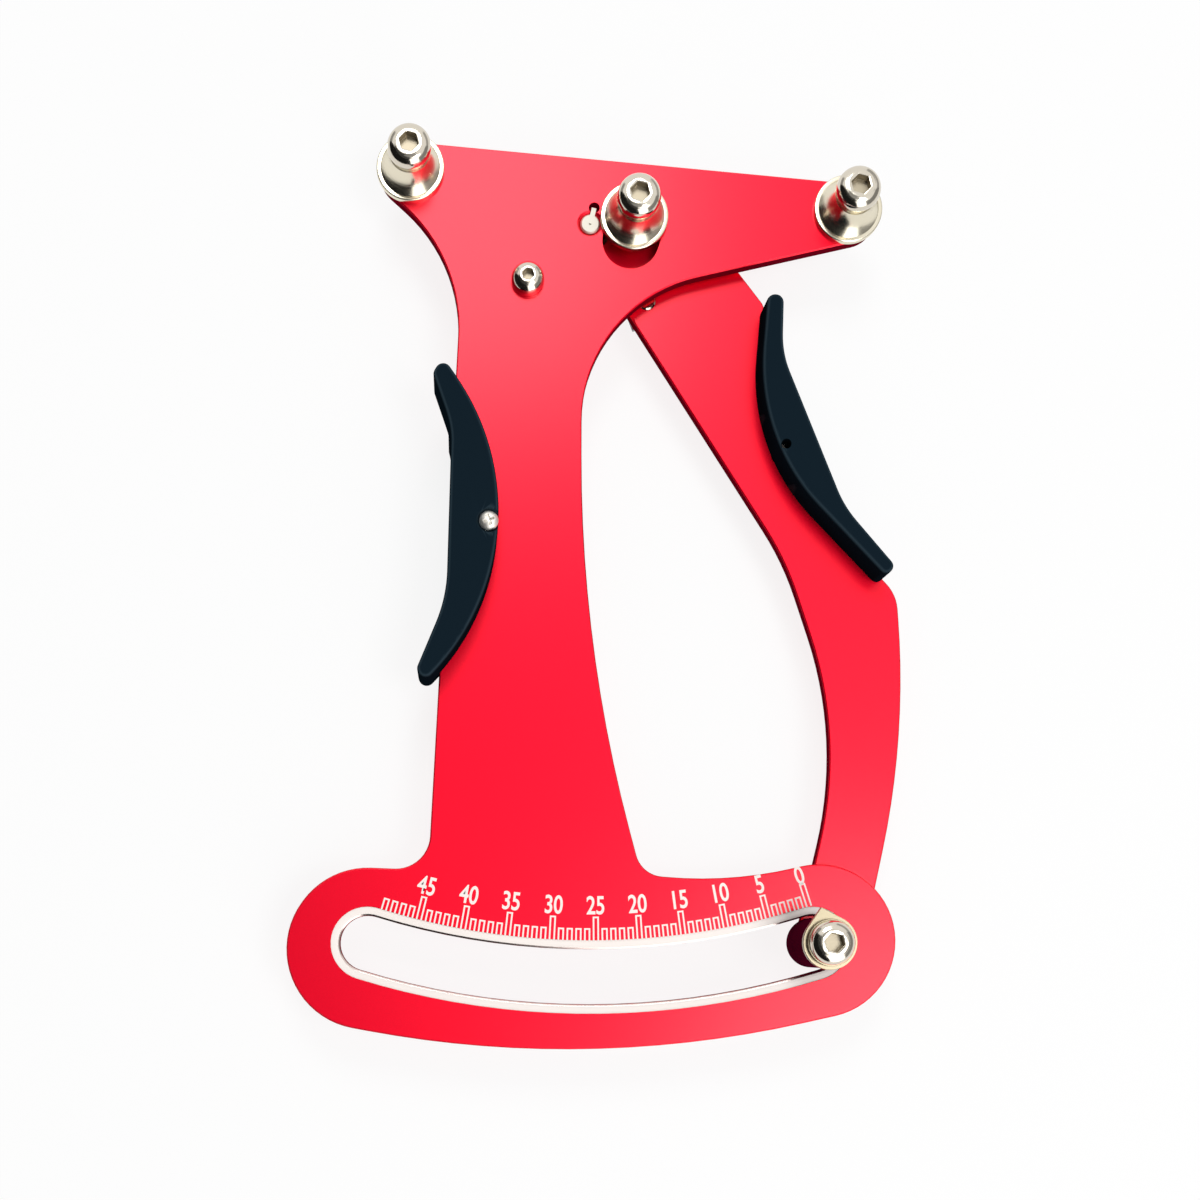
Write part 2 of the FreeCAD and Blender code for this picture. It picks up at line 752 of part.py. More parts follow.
def pieces():
    """Every piece by its node name, laid out from the pivot."""
    centre = V(0, 0, 0)
    running = pin_radius + pin_running_clearance
    middle_base = middle_flange_lift
    side_nut_end = frame_rear - m6_nut_height
    middle_nut_end = lever_rear - m6_nut_height
    made = {
        "frame_plate": frame_plate(),
        "lever_plate": lever_plate(),
        "pivot_pin": pivot_pin(),
        "pivot_washer": ring(centre, washer_radius, pin_radius, washer_rear(), frame_rear),
        "spring_bush": ring(centre, bush_radius, pin_radius, bush_rear(), bush_front()),
        "pivot_end_washer": ring(centre, washer_radius, pin_radius, end_washer_rear(), bush_rear()),
        "pivot_retaining_ring": retaining_ring(),
        "torsion_spring": torsion_spring(),
        "spring_pin": spring_pin(),
        "anchor_screw": button_screw(anchor, 0, -m4_length, m4_radius, m4_head_radius,
                                     m4_head_height, m4_hex, m4_hex_depth),
        "anchor_standoff": standoff(),
        "left_grip": left_grip(),
        "left_grip_screw": left_screw(),
        "right_grip": right_grip(),
        "right_grip_screw": right_screw(),
        "pointer_spacer": ring(foot, spacer_radius, m6_radius + m6_hole_clearance,
                               lever_front, spacer_above_frame),
        "pointer_washer": pointer_washer(),
        "pointer_lock_washer": ring(foot, lock_washer_radius, m6_radius + m6_hole_clearance,
                                    spacer_above_frame + pointer_thickness,
                                    spacer_above_frame + pointer_thickness + lock_washer_thickness),
        "pointer_screw": pointer_screw(),
        "pointer_nut": pointer_nut(),
        "middle_post_sleeve": post_sleeve(middle_post, middle_base, lever_front),
        "middle_post_screw": post_screw(middle_post, middle_base, middle_nut_end),
        "middle_post_nut": hex_nut(middle_post, lever_rear, m6_nut_height, m6_nut_flats,
                                   m6_radius, middle_post_angle + 180),
    }
    for side, post in (("left", left_post), ("right", right_post)):
        made[side + "_post_sleeve"] = post_sleeve(post, 0)
        made[side + "_post_screw"] = post_screw(post, 0, side_nut_end)
        made[side + "_post_nut"] = hex_nut(post, frame_rear, m6_nut_height, m6_nut_flats,
                                           m6_radius, 90 + post_line_angle)
    return made


def place(made):
    """Move the origin under the middle of the tool."""
    box = Part.makeCompound(list(made.values())).optimalBoundingBox(False, False)
    move = V(-(box.XMin + box.XMax) / 2, -(box.YMin + box.YMax) / 2, -box.ZMin)
    for shape in made.values():
        shape.translate(move)
    return move


def main():
    os.makedirs("parts", exist_ok=True)
    made = pieces()
    move = place(made)
    for name, shape in made.items():
        shape.exportStep(os.path.join("parts", name + ".step"))
    print("pivot at", round(move.x, 4), round(move.y, 4), round(move.z, 4), "travel", round(travel, 3))


main()
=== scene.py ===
"""Looks for a hand-held spoke tension meter: finishes, dial, hardware, grips and stage."""

import json
import math

import bmesh
import bpy
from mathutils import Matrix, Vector


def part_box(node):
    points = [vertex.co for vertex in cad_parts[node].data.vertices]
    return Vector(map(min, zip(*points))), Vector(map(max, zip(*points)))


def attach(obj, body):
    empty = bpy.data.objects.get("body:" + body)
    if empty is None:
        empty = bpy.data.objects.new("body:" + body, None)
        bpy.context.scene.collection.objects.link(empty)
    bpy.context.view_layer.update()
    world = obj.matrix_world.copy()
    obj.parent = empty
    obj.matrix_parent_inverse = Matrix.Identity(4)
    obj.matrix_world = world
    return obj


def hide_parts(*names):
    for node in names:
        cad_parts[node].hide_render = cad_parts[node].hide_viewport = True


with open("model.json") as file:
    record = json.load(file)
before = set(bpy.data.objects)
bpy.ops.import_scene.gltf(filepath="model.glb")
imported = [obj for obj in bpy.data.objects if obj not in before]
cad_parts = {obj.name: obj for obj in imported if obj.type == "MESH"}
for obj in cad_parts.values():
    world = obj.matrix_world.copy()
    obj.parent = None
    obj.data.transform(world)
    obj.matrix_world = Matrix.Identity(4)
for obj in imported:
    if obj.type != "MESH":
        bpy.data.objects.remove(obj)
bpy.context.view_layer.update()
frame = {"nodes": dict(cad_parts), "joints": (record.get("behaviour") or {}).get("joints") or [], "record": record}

bl_info = {
    "name": "Spoke tension meter",
    "version": (1, 0, 0),
    "blender": (4, 5, 0),
    "location": "3D View > Sidebar > Tension meter",
    "description": "Finishes, dial, hardware, grips and stage for a spoke tension meter",
    "category": "Object",
}

MM = 0.001
PIVOT = Vector(frame["joints"][0]["pos_m"])
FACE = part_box("frame_plate")[1].z          # the frame plate's front face
FILM = 0.015 * MM                          # lift of a printed or engraved mark off its plate


def linear(hex_colour):
    """Linear RGBA of an sRGB hex colour."""
    values = [int(hex_colour[i:i + 2], 16) / 255 for i in (1, 3, 5)]
    flat = [v / 12.92 if v <= 0.04045 else ((v + 0.055) / 1.055) ** 2.4 for v in values]
    return (*flat, 1.0)


# ------------------------------------------------------------------- settings

def length(name, description, millimetres):
    """A size that a user can change, in metres."""
    return bpy.props.FloatProperty(name=name, description=description, default=millimetres * MM,
                                   min=0.0, precision=5, unit="LENGTH", subtype="DISTANCE")


def angle(name, description, degrees):
    """An angle that a user can change."""
    return bpy.props.FloatProperty(name=name, description=description, default=math.radians(degrees),
                                   precision=4, unit="ROTATION", subtype="ANGLE")


def colour(name, description, hex_colour):
    """A colour that a user can change."""
    return bpy.props.FloatVectorProperty(name=name, description=description, size=4, min=0.0, max=1.0,
                                         subtype="COLOR", default=linear(hex_colour))


class MeterColours(bpy.types.PropertyGroup):
    """Colours of the finishes"""
    plate: colour("Plates", "Red dye of the plates' faces", "#F6002A")
    # Painted shade: the darker colour painted on the plates' walls.
    plate_edge: colour("Plate edges", "Dye in the plates' milled edges", "#6A0418")
    plating: colour("Plating", "Polished nickel plating of the screws", "#D9D1C2")
    turned: colour("Turned steel", "Plated, turned post sleeves", "#E6DEC8")
    washer: colour("Washers", "Pressed washers under the pointer screw", "#958B74")
    spacer: colour("Spacer", "Dark spacer behind the pointer", "#4A0620")
    grip: colour("Grips", "Moulded grips", "#14212A")
    mark: colour("Marks", "Scale lines, numerals and the slot's rim", "#FFF6F0")
    bevel: colour("Slot bevel", "Bare metal of the slot's bevel", "#D9C6C0")


class MeterDial(bpy.types.PropertyGroup):
    """Sizes of the scale and the slot's rim"""
    zero: angle("Zero", "Place of the zero line, from straight down", 17.77)
    unit: angle("Unit", "Turn of the pointer for the first unit", 0.680)
    growth: angle("Growth", "How much wider the scale gets per unit squared", 0.000495)
    line_width: length("Line width", "Outer width of a scale line's outline", 1.45)
    line_stroke: length("Line stroke", "Stroke of a scale line's outline", 0.38)
    line_foot: length("Line foot", "Radius where the scale lines start", 167.3)
    short_top: length("Short line", "Radius where the short lines end", 164.4)
    long_top: length("Long line", "Radius where the long lines end", 161.7)
    numeral_radius: length("Numeral radius", "Radius of the numerals' middle", 159.3)
    numeral_size: length("Numeral size", "Type size of the numerals", 5.95)
    rim_flat: length("Rim flat", "Width of the slot's flat rim", 1.04)
    rim_slope: length("Rim slope", "Width of the shallow slope inside it", 0.64)
    rim_bevel: length("Rim bevel", "Width of the bright bevel at the slot", 0.4)


class MeterHardware(bpy.types.PropertyGroup):
    """Sizes of the posts and screws"""
    flange_height: length("Flange height", "Thickness of a post sleeve's flange", 1.2)
    flare_radius: length("Flare radius", "Foot of the hollow flare", 6.95)
    waist_radius: length("Waist radius", "Narrowest place, where the spoke lies", 4.2)
    collar_height: length("Collar height", "Collar under the screw's head", 2.2)
    m6_socket: length("M6 socket", "Width across flats of the M6 sockets", 4.0)
    m4_socket: length("M4 socket", "Width across flats of the M4 socket", 2.5)
    soft_edge: length("Broken edges", "Width of the small bevels on turned edges", 0.09)


class MeterStage(bpy.types.PropertyGroup):
    """Light on the table"""
    daylight: bpy.props.FloatProperty(name="Daylight", default=0.36, min=0.0,
                                      description="Strength of the even light from all sides")
    softbox: bpy.props.FloatProperty(name="Softboxes", default=1.0, min=0.0,
                                     description="Strength of the soft lamps")
    shadow: bpy.props.FloatProperty(name="Floor shadow", default=0.15, min=0.0, max=1.0, subtype="FACTOR",
                                    description="How much of the shadow the white floor keeps")


# ---------------------------------------------------------------- small tools

def clear_selection():
    """Leaves edit mode and selects nothing."""
    if bpy.context.object and bpy.context.object.mode != "OBJECT":
        bpy.ops.object.mode_set(mode="OBJECT")
    bpy.ops.object.select_all(action="DESELECT")


def pick(piece):
    """Makes one piece the only selected and active one."""
    clear_selection()
    piece.select_set(True)
    bpy.context.view_layer.objects.active = piece


def edit(piece):
    """Edit mode, selecting vertices, with all selected."""
    pick(piece)
    bpy.ops.object.mode_set(mode="EDIT")
    bpy.ops.mesh.select_mode(type="VERT")
    bpy.ops.mesh.select_all(action="SELECT")


def choose(piece, test):
    """In edit mode, selects the vertices whose place passes a test."""
    mesh = bmesh.from_edit_mesh(piece.data)
    for vertex in mesh.verts:
        vertex.select_set(test(vertex.co))
    mesh.select_flush_mode()
    bmesh.update_edit_mesh(piece.data)


def second_finish(piece, finish, test):
    """Gives the faces that pass a test a finish of their own."""
    piece.data.materials.append(finish)
    edit(piece)
    bpy.ops.mesh.select_mode(type="FACE")
    mesh = bmesh.from_edit_mesh(piece.data)
    for face in mesh.faces:
        face.select_set(test(face))
    bmesh.update_edit_mesh(piece.data)
    piece.active_material_index = len(piece.data.materials) - 1
    bpy.ops.object.material_slot_assign()
    bpy.ops.object.mode_set(mode="OBJECT")


def settle(piece):
    """Puts the piece's place into its mesh, with the object at the origin."""
    pick(piece)
    bpy.ops.object.transform_apply(location=True, rotation=True, scale=True)


def close_seams(piece):
    """Merges doubled vertices and points all faces outwards."""
    edit(piece)
    bpy.ops.mesh.remove_doubles(threshold=0.002 * MM)
    bpy.ops.mesh.normals_make_consistent(inside=False)
    bpy.ops.object.mode_set(mode="OBJECT")


def smooth(piece, degrees=30):
    """Smooth shading, with edges sharper than the angle kept."""
    pick(piece)
    bpy.ops.object.shade_smooth_by_angle(angle=math.radians(degrees))


def finish_with(piece, kind, **settings):
    """Adds a modifier and applies it."""
    pick(piece)
    step = piece.modifiers.new(kind.lower(), kind)
    for key, value in settings.items():
        setattr(step, key, value)
    bpy.ops.object.modifier_apply(modifier=step.name)


def soften(piece, width, degrees=40):
    """Breaks the sharp edges and shades the rest smoothly."""
    finish_with(piece, "BEVEL", width=width, segments=2, limit_method="ANGLE",
                angle_limit=math.radians(degrees), use_clamp_overlap=True)
    smooth(piece, 35)
    finish_with(piece, "WEIGHTED_NORMAL", keep_sharp=True)


def on_body(piece, name, body, finish):
    """Names the piece, gives it its finish and sets it on a body."""
    piece.name = name
    piece.data.name = name
    piece.data.materials.clear()
    piece.data.materials.append(finish)
    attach(piece, body)
    return piece


def stands_for(piece, node, body, finish):
    """Sets the piece in place of a plain solid."""
    on_body(piece, node + "_turned", body, finish)
    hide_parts(node)
    return piece


def copy_of(piece):
    """A copy with its own mesh."""
    twin = piece.copy()
    twin.data = piece.data.copy()
    bpy.context.scene.collection.objects.link(twin)
    return twin


def moved_copy(piece, shift):
    """A copy set elsewhere, with its place in its mesh."""
    twin = copy_of(piece)
    twin.location = shift
    settle(twin)
    return twin


def drop(*pieces):
    """Deletes helper pieces."""
    clear_selection()
    for piece in pieces:
        piece.select_set(True)
    bpy.ops.object.delete()


def join(pieces):
    """Joins pieces into the first one."""
    clear_selection()
    for piece in pieces:
        piece.select_set(True)
    bpy.context.view_layer.objects.active = pieces[0]
    bpy.ops.object.join()
    return pieces[0]


def middle(node):
    """The middle of a part seen from above, as a point at height 0."""
    low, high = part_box(node)
    return Vector(((low.x + high.x) / 2, (low.y + high.y) / 2, 0))


def arc(start, through, end, count):
    """Points on the arc through three (radius, height) points, without its start."""
    (ax, ay), (bx, by), (cx, cy) = start, through, end
    d = 2 * (ax * (by - cy) + bx * (cy - ay) + cx * (ay - by))
    sq = [x * x + y * y for x, y in (start, through, end)]
    ox = (sq[0] * (by - cy) + sq[1] * (cy - ay) + sq[2] * (ay - by)) / d
    oy = (sq[0] * (cx - bx) + sq[1] * (ax - cx) + sq[2] * (bx - ax)) / d
    radius = math.hypot(ax - ox, ay - oy)
    first, mid, last = [math.atan2(y - oy, x - ox) for x, y in (start, through, end)]
    if (mid - first) % (2 * math.pi) < (last - first) % (2 * math.pi):
        sweep = (last - first) % (2 * math.pi)
    else:
        sweep = -((first - last) % (2 * math.pi))
    turns = [first + sweep * i / count for i in range(1, count + 1)]
    return [(ox + radius * math.cos(turn), oy + radius * math.sin(turn)) for turn in turns]


def lathe(points, centre, steps=96, turn=360):
    """Draws a profile edge by edge and turns it round an upright axis.

    The points are (radius, height); heights are measured from the table.
    """
    clear_selection()
    bpy.ops.mesh.primitive_plane_add(size=0.1 * MM, location=(
        centre.x + points[0][0], centre.y, points[0][1]))
    piece = bpy.context.object
    settle(piece)
    edit(piece)
    bpy.ops.mesh.merge(type="CENTER")
    for here, there in zip(points, points[1:]):
        bpy.ops.mesh.extrude_region_move(TRANSFORM_OT_translate={
            "value": (there[0] - here[0], 0, there[1] - here[1])})
    bpy.ops.mesh.select_all(action="SELECT")
    bpy.ops.mesh.spin(steps=steps, angle=-math.radians(turn), center=centre, axis=(0, 0, 1))
    close_seams(piece)
    return piece


def drill_hexagon(piece, centre, flats, low, high, turn):
    """Cuts a hexagon socket; turn is the direction that one flat faces."""
    clear_selection()
    bpy.ops.mesh.primitive_cylinder_add(vertices=6, radius=flats / math.sqrt(3), depth=high - low,
                                        location=(centre.x, centre.y, (low + high) / 2),
                                        rotation=(0, 0, math.radians(turn)))
    drill = bpy.context.object
    settle(drill)
    finish_with(piece, "BOOLEAN", operation="DIFFERENCE", object=drill, solver="EXACT")
    drop(drill)


# ------------------------------------------------------------------- finishes

def node(tree, kind, settings=None, links=None):
    """Adds a shader node with its settings and the sockets that feed it."""
    made = tree.nodes.new(kind)
    for key, value in (settings or {}).items():
        if isinstance(key, int) or key in made.inputs:
            made.inputs[key].default_value = value
        else:
            setattr(made, key, value)
    for key, source in (links or {}).items():
        tree.links.new(source, made.inputs[key])
    return made


def new_finish(name, settings):
    """A material with its Principled shader set."""
    finish = bpy.data.materials.new(name)
    finish.use_nodes = True
    tree = finish.node_tree
    shader = tree.nodes["Principled BSDF"]
    for key, value in settings.items():
        shader.inputs[key].default_value = value
    return finish, tree, shader


def grain_bump(tree, shader, size, strength, depth):
    """A fine even grain, size metres across, cut depth metres deep."""
    place = node(tree, "ShaderNodeTexCoord")
    grain = node(tree, "ShaderNodeTexNoise", {"Scale": 1 / size, "Detail": 2.0, "Roughness": 0.6},
                 {"Vector": place.outputs["Object"]})
    bump = node(tree, "ShaderNodeBump", {"Strength": strength, "Distance": depth},
                {"Height": grain.outputs["Fac"]})
    tree.links.new(bump.outputs["Normal"], shader.inputs["Normal"])
    return grain


def facing_up(tree):
    """How far a surface faces up or down: 1 on the faces of a flat part, 0 on its walls."""
    place = node(tree, "ShaderNodeTexCoord")
    facing = node(tree, "ShaderNodeSeparateXYZ", None, {0: place.outputs["Normal"]})
    return node(tree, "ShaderNodeMath", {"operation": "ABSOLUTE"}, {0: facing.outputs["Z"]})


def anodised_red(colours):
    """Bead-blasted, dyed anodised aluminium: metal seen through a red, satin oxide film.

    The blasted faces shine softly. The walls are painted much darker, nearly
    black-red: painted shade, set by how far the surface faces up. The blasting
    grain of 0.1 mm is drawn at 0.35 mm, the finest that shows.
    """
    finish, tree, shader = new_finish("anodised_aluminium_red", {
        "Coat Roughness": 0.25, "Coat IOR": 1.5, "Specular IOR Level": 0.0})
    grain = grain_bump(tree, shader, 0.35 * MM, 0.10, 0.03 * MM)
    face = node(tree, "ShaderNodeMapRange", {"From Min": 0.35, "From Max": 0.65},
                {"Value": facing_up(tree).outputs[0]})
    # Painted shade: where the surface faces sideways, the walls get the darker wall colour instead of the faces'
    # red dye.
    dye = node(tree, "ShaderNodeMixRGB", {"Color1": colours.plate_edge, "Color2": colours.plate},
               {"Fac": face.outputs[0]})
    depth = node(tree, "ShaderNodeMapRange", {"To Min": 0.93, "To Max": 1.05},
                 {"Value": grain.outputs["Fac"]})
    tone = node(tree, "ShaderNodeVectorMath", {"operation": "SCALE"},
                {0: dye.outputs[0], "Scale": depth.outputs[0]})
    satin = node(tree, "ShaderNodeMapRange", {"To Min": 0.6, "To Max": 0.5}, {"Value": face.outputs[0]})
    film = node(tree, "ShaderNodeMath", {"operation": "MULTIPLY", 1: 0.5}, {0: face.outputs[0]})
    tree.links.new(tone.outputs[0], shader.inputs["Base Color"])
    tree.links.new(face.outputs[0], shader.inputs["Metallic"])
    tree.links.new(satin.outputs[0], shader.inputs["Roughness"])
    tree.links.new(film.outputs[0], shader.inputs["Coat Weight"])
    return finish


def plated_steel(colours):
    """Polished, nickel-plated steel: sharp, warm reflections, a little uneven from the plating."""
    finish, tree, shader = new_finish("nickel_plated_steel", {
        "Base Color": colours.plating, "Metallic": 1.0, "Roughness": 0.13})
    grain_bump(tree, shader, 0.8 * MM, 0.05, 0.02 * MM)
    return finish


def turned_steel(colours):
    """Turned, nickel-plated steel: the lathe's fine rings draw the reflections round.

    The rings, cut about 0.05 mm apart, are drawn as soft bands 0.25 mm high.
    """
    finish, tree, shader = new_finish("turned_nickel_steel", {
        "Base Color": colours.turned, "Metallic": 1.0, "Roughness": 0.2})
    place = node(tree, "ShaderNodeTexCoord")
    height = node(tree, "ShaderNodeSeparateXYZ", None, {0: place.outputs["Object"]})
    rings = node(tree, "ShaderNodeTexNoise",
                 {"noise_dimensions": "1D", "Scale": 1 / (0.25 * MM), "Detail": 3.0},
                 {"W": height.outputs["Z"]})
    bump = node(tree, "ShaderNodeBump", {"Strength": 0.25, "Distance": 0.02 * MM},
                {"Height": rings.outputs["Fac"]})
    rough = node(tree, "ShaderNodeMapRange", {"To Min": 0.14, "To Max": 0.3},
                 {"Value": rings.outputs["Fac"]})
    tree.links.new(bump.outputs["Normal"], shader.inputs["Normal"])
    tree.links.new(rough.outputs[0], shader.inputs["Roughness"])
    return finish


def pressed_washer(colours):
    """Pressed and barrel-plated washer steel: duller, yellowish and lightly scuffed."""
    finish, tree, shader = new_finish("barrel_plated_washer_steel", {
        "Base Color": colours.washer, "Metallic": 1.0, "Roughness": 0.33})
    grain_bump(tree, shader, 0.5 * MM, 0.1, 0.03 * MM)
    return finish


def moulded_spacer(colours):
    """Moulded spacer: wine-red, nearly black and matt."""
    finish, tree, shader = new_finish("moulded_dark_spacer", {
        "Base Color": colours.spacer, "Roughness": 0.5, "IOR": 1.5, "Specular IOR Level": 0.0})
    grain_bump(tree, shader, 0.6 * MM, 0.06, 0.03 * MM)
    return finish


def spring_steel():
    """Drawn spring wire: grey, lightly polished by the die."""
    return new_finish("drawn_spring_steel", {
        "Base Color": linear("#8E8F92"), "Metallic": 1.0, "Roughness": 0.3})[0]


def ground_pin():
    """Ground pin end: flat grey, with the wheel's scuff instead of a mirror."""
    finish, tree, shader = new_finish("ground_pin_steel", {
        "Base Color": linear("#CFCBC0"), "Metallic": 1.0, "Roughness": 0.6})
    grain_bump(tree, shader, 0.4 * MM, 0.15, 0.02 * MM)
    return finish


def tumbled_nut():
    """Cold-formed nut steel: grey and satin from the tumbling barrel, darker than the screws."""
    return new_finish("tumbled_nut_steel", {
        "Base Color": linear("#86827A"), "Metallic": 1.0, "Roughness": 0.4})[0]


def zinc_plating():
    """Barrel zinc plating on the grips' screws: pale and dull, without a mirror image."""
    return new_finish("barrel_zinc_plating", {
        "Base Color": linear("#F4F0E8"), "Metallic": 1.0, "Roughness": 0.5})[0]


def turned_brass():
    """Turned brass: yellow, with a soft shine."""
    return new_finish("turned_brass", {
        "Base Color": linear("#C9A766"), "Metallic": 1.0, "Roughness": 0.3})[0]


def moulded_grip(colours):
    """Moulded glass-filled nylon: blue-black, matt from the spark-eroded mould.

    The mould's texture of 0.05 mm is drawn at 0.3 mm, the finest that shows.
    The walls are painted darker, as painted shade, and the rounded rims
    between walls and face a little paler, as a painted highlight.
    """
    finish, tree, shader = new_finish("moulded_nylon_black", {
        "Base Color": colours.grip, "Roughness": 0.5, "IOR": 1.5, "Specular IOR Level": 0.0})
    grain_bump(tree, shader, 0.3 * MM, 0.12, 0.03 * MM)
    up = facing_up(tree).outputs[0]
    # Painted shade and highlight: sideways-facing walls get a darker blue-black, and the rims between wall and
    # face get a paler one.
    rim = node(tree, "ShaderNodeMapRange", {"From Min": 0.3, "From Max": 0.8}, {"Value": up})
    face = node(tree, "ShaderNodeMapRange", {"From Min": 0.8, "From Max": 0.98}, {"Value": up})
    wall_shade_and_rim_highlight = node(tree, "ShaderNodeMixRGB", {"Color1": linear("#0B151C"), "Color2": linear("#2B3A43")},
                  {"Fac": rim.outputs[0]})
    tone = node(tree, "ShaderNodeMixRGB", {"Color2": colours.grip},
                {"Fac": face.outputs[0], "Color1": wall_shade_and_rim_highlight.outputs[0]})
    tree.links.new(tone.outputs[0], shader.inputs["Base Color"])
    return finish


def engraved_mark(colours):
    """Laser-engraved mark: the dye is burnt off to pale, matt oxide."""
    return new_finish("engraved_pale_oxide", {
        "Base Color": colours.mark, "Roughness": 0.6, "Specular IOR Level": 0.2})[0]


def milled_bevel(colours):
    """Bare milled aluminium: bright, with the cutter's fine satin."""
    return new_finish("milled_bare_aluminium", {
        "Base Color": colours.bevel, "Metallic": 1.0, "Roughness": 0.2})[0]


def broached_steel():
    """Broached socket: the tool's dull, torn surface, with some oil left in it."""
    finish, tree, shader = new_finish("broached_steel", {
        "Base Color": linear("#A69C88"), "Metallic": 1.0, "Roughness": 0.45})
    grain_bump(tree, shader, 0.5 * MM, 0.25, 0.05 * MM)
    return finish


FINISHES = {}
SLOT_FINISH = {"red_anodised": "red", "grip_plastic": "grip", "turned_steel": "turned",
               "plated_steel": "plated", "washer_steel": "washer", "dark_spacer": "dark",
               "spring_wire": "wire", "bush_brass": "brass"}
DULL_STEEL = {"pivot_pin": "ground", "left_post_nut": "nut", "right_post_nut": "nut",
              "middle_post_nut": "nut", "pointer_nut": "nut"}
PARTS = {part["node"]: part["material_slot"] for part in frame["record"]["subparts"]}


class METER_OT_finishes(bpy.types.Operator):
    """Makes the finishes and gives every plain solid its own"""
    bl_idname = "meter.finishes"
    bl_label = "Finishes"

    def execute(self, context):
        colours = context.scene.meter_colours
        FINISHES.update(
            red=anodised_red(colours), plated=plated_steel(colours), turned=turned_steel(colours),
            washer=pressed_washer(colours), dark=moulded_spacer(colours), wire=spring_steel(),
            brass=turned_brass(), ground=ground_pin(), nut=tumbled_nut(), zinc=zinc_plating(),
            grip=moulded_grip(colours), mark=engraved_mark(colours), bevel=milled_bevel(colours),
            broached=broached_steel())
        for name, slot in PARTS.items():
            for place in frame["nodes"][name].material_slots:
                place.material = FINISHES[DULL_STEEL.get(name, SLOT_FINISH[slot])]
        return {"FINISHED"}


# --------------------------------------------------- plates, grips and washers

PLATE_EDGE = 0.2 * MM          # broken edges of the plates
TURNED_EDGE = 0.12 * MM        # and of the spacer and washers


def smoothed(name, body, edge=0.0):
    """A merged copy of a solid with smooth curves and, where asked, broken edges."""
    piece = copy_of(frame["nodes"][name])
    piece.hide_render = piece.hide_viewport = False
    settle(piece)
    close_seams(piece)
    if edge:
        edit(piece)
        bpy.ops.mesh.dissolve_limited(angle_limit=math.radians(0.5))
        soften(piece, edge)
    else:
        smooth(piece, 30)
        finish_with(piece, "WEIGHTED_NORMAL", keep_sharp=True)
    on_body(piece, name + "_smooth", body, FINISHES[SLOT_FINISH[PARTS[name]]])
    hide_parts(name)
    return piece


class METER_OT_plates(bpy.types.Operator):
    """Smooths the curved edges of the two plates"""
    bl_idname = "meter.plates"
    bl_label = "Plates"

    def execute(self, context):
        smoothed("frame_plate", "frame", PLATE_EDGE)
        smoothed("lever_plate", "lever", PLATE_EDGE)
        return {"FINISHED"}


class METER_OT_grips(bpy.types.Operator):
    """Smooths the moulded grips and their screws"""
    bl_idname = "meter.grips"
    bl_label = "Grips"

    def execute(self, context):
        for side, body in (("left", "frame"), ("right", "lever")):
            smoothed(side + "_grip", body)
            screw = smoothed(side + "_grip_screw", body)
            screw.data.materials[0] = FINISHES["zinc"]
        return {"FINISHED"}


# ------------------------------------------------------------ posts and screws

SLEEVE_BORE = 3.15 * MM
SLEEVE_COLLAR = 4.6 * MM
SLEEVE_SPIGOT = 4.3 * MM       # the middle sleeve's neck, down to the lever
WAIST_DROP = 0.6 * MM          # from the collar down to the waist
FLARE_DISH = 0.5 * MM          # how far the flare is hollowed
FLANGE_EDGE = 0.3 * MM
COLLAR_EDGE = 0.15 * MM
M6 = (5.0 * MM, 3.0 * MM, 1.9 * MM)        # radius of head and shaft, depth of socket
M4 = (3.8 * MM, 2.0 * MM, 1.5 * MM)
SHAFT_TIP = 0.85                           # the shaft's tip by its radius
HEAD_EDGE = 0.12 * MM                      # bevel under the head
HEAD_RIM = 0.12                            # the rim's height by the head's
HEAD_DOME = (0.895, 0.68)                  # a place on the dome, by the head's radius and height
HEAD_RING = 0.8                            # radius of the flat ring by the socket's width
RING_EDGE = 0.1 * MM
SOCKET_TURN = 75                           # direction in degrees that one flat of a socket faces


def sleeve_profile(hardware, base, top, flange_radius, spigot_foot=None):
    """Flange, hollow flare, waist and collar as (radius, height) points."""
    flange = base + hardware.flange_height
    collar = top - hardware.collar_height
    waist = collar - WAIST_DROP
    run = hardware.flare_radius - hardware.waist_radius
    rise = waist - flange
    slant = math.hypot(run, rise)
    through = ((hardware.flare_radius + hardware.waist_radius) / 2 - FLARE_DISH * rise / slant,
               (flange + waist) / 2 - FLARE_DISH * run / slant)
    foot = (hardware.flare_radius, flange)
    inner = FLANGE_EDGE * 0.3
    points = [(SLEEVE_BORE, base)]
    if spigot_foot is not None:
        points = [(SLEEVE_BORE, spigot_foot), (SLEEVE_SPIGOT, spigot_foot), (SLEEVE_SPIGOT, base)]
    points += [(flange_radius, base), (flange_radius, flange - FLANGE_EDGE)]
    points += arc(points[-1], (flange_radius - inner, flange - inner),
                  (flange_radius - FLANGE_EDGE, flange), 4)
    points += [foot] + arc(foot, through, (hardware.waist_radius, waist), 24)
    points += [(SLEEVE_COLLAR, collar), (SLEEVE_COLLAR, top - COLLAR_EDGE)]
    points += [(SLEEVE_COLLAR - COLLAR_EDGE, top), (SLEEVE_BORE, top), points[0]]
    return points


def head_profile(radius, under, top, shaft, end, flat):
    """Shaft and domed head with a flat ring round its socket."""
    height = top - under
    rim = (radius, under + height * HEAD_RIM)
    dome = (radius * HEAD_DOME[0], under + height * HEAD_DOME[1])
    tip = shaft * SHAFT_TIP
    points = [(0, end), (tip, end), (shaft, end + shaft - tip), (shaft, under)]
    points += [(radius - HEAD_EDGE, under), (radius, under + HEAD_EDGE), rim]
    points += arc(rim, dome, (flat, top - RING_EDGE / 2), 16)
    points += [(flat - RING_EDGE, top), (0, top)]
    return points


